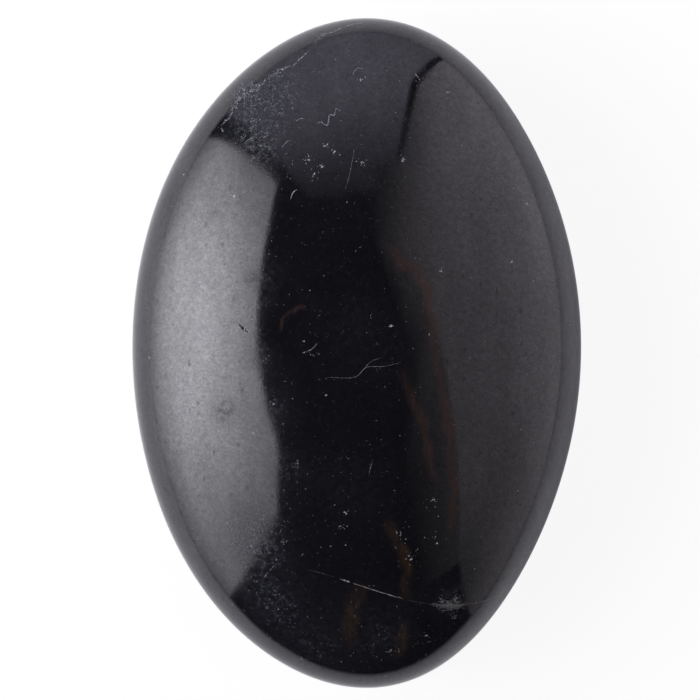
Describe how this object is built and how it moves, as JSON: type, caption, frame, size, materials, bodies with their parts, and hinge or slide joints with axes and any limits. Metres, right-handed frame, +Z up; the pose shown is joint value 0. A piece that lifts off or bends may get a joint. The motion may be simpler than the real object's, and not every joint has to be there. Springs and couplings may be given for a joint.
{
  "type": "basalt massage stone",
  "caption": "Egg-shaped, mirror-polished black massage stone that fits the hand, with thin pale mineral veins and a small flat underneath to rest on.",
  "frame": {"origin": "centre of the stone's outline, on the plane that the stone rests on", "axes": "+Y along the length towards the blunter end, +X along the width, +Z up from the resting flat to the crown"},
  "size_m": [0.0602, 0.09, 0.028],
  "materials": {
    "dark_rock": "mirror polish with faint scratches and pits",
    "pale_mineral": "matt and crystalline",
    "grey_mineral": "matt and crystalline"
  },
  "bodies": {
    "root": {"stone_body": "dark_rock", "lower_vein": "pale_mineral", "middle_vein": "grey_mineral"}
  },
  "joints": []
}
